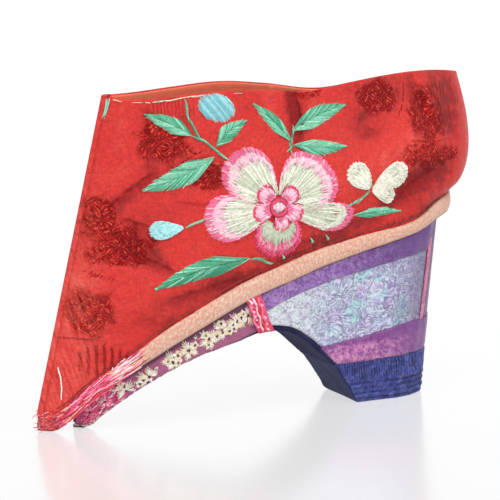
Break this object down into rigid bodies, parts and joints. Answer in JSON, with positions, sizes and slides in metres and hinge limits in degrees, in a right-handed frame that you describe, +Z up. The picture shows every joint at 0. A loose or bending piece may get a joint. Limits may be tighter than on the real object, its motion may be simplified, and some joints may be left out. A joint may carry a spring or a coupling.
{
  "type": "chinese embroidered shoe",
  "caption": "Small cloth shoe with a pointed sloping sole, a tall tapering cloth-covered heel and an open collar, with embroidered sides.",
  "frame": {"origin": "on the floor under the middle of the shoe's length and width", "axes": "+Z up, -X towards the toe, +X towards the heel, +Y to the side away from the pictured one"},
  "size_m": [0.1336, 0.0344, 0.0939],
  "materials": {
    "damask": "red silk damask with woven roundels, soft sheen",
    "binding_tape": "peach cotton tape, worn matte, pink strands at the toe",
    "insole_cloth": "orange cotton lining, matte",
    "sole_ribbon": "plum silk ribbon with cream woven blossoms",
    "heel_brocade": "silver blue figured silk between violet ribbons",
    "cap_cloth": "navy ribbed cloth, wrapped and faded",
    "outsole_cloth": "navy cotton, worn matte",
    "braid": "pink silk braid with a white woven line",
    "embroidery_silk": "floss silk in satin stitch, glossy",
    "lining_cloth": "orange cotton, matte"
  },
  "bodies": {
    "root": {"upper": "damask", "binding": "binding_tape", "insole": "insole_cloth", "forefoot_sole": "sole_ribbon", "heel_block": "heel_brocade", "heel_cap": "cap_cloth", "outsole": "outsole_cloth", "shank_braid": "braid"}
  },
  "joints": []
}
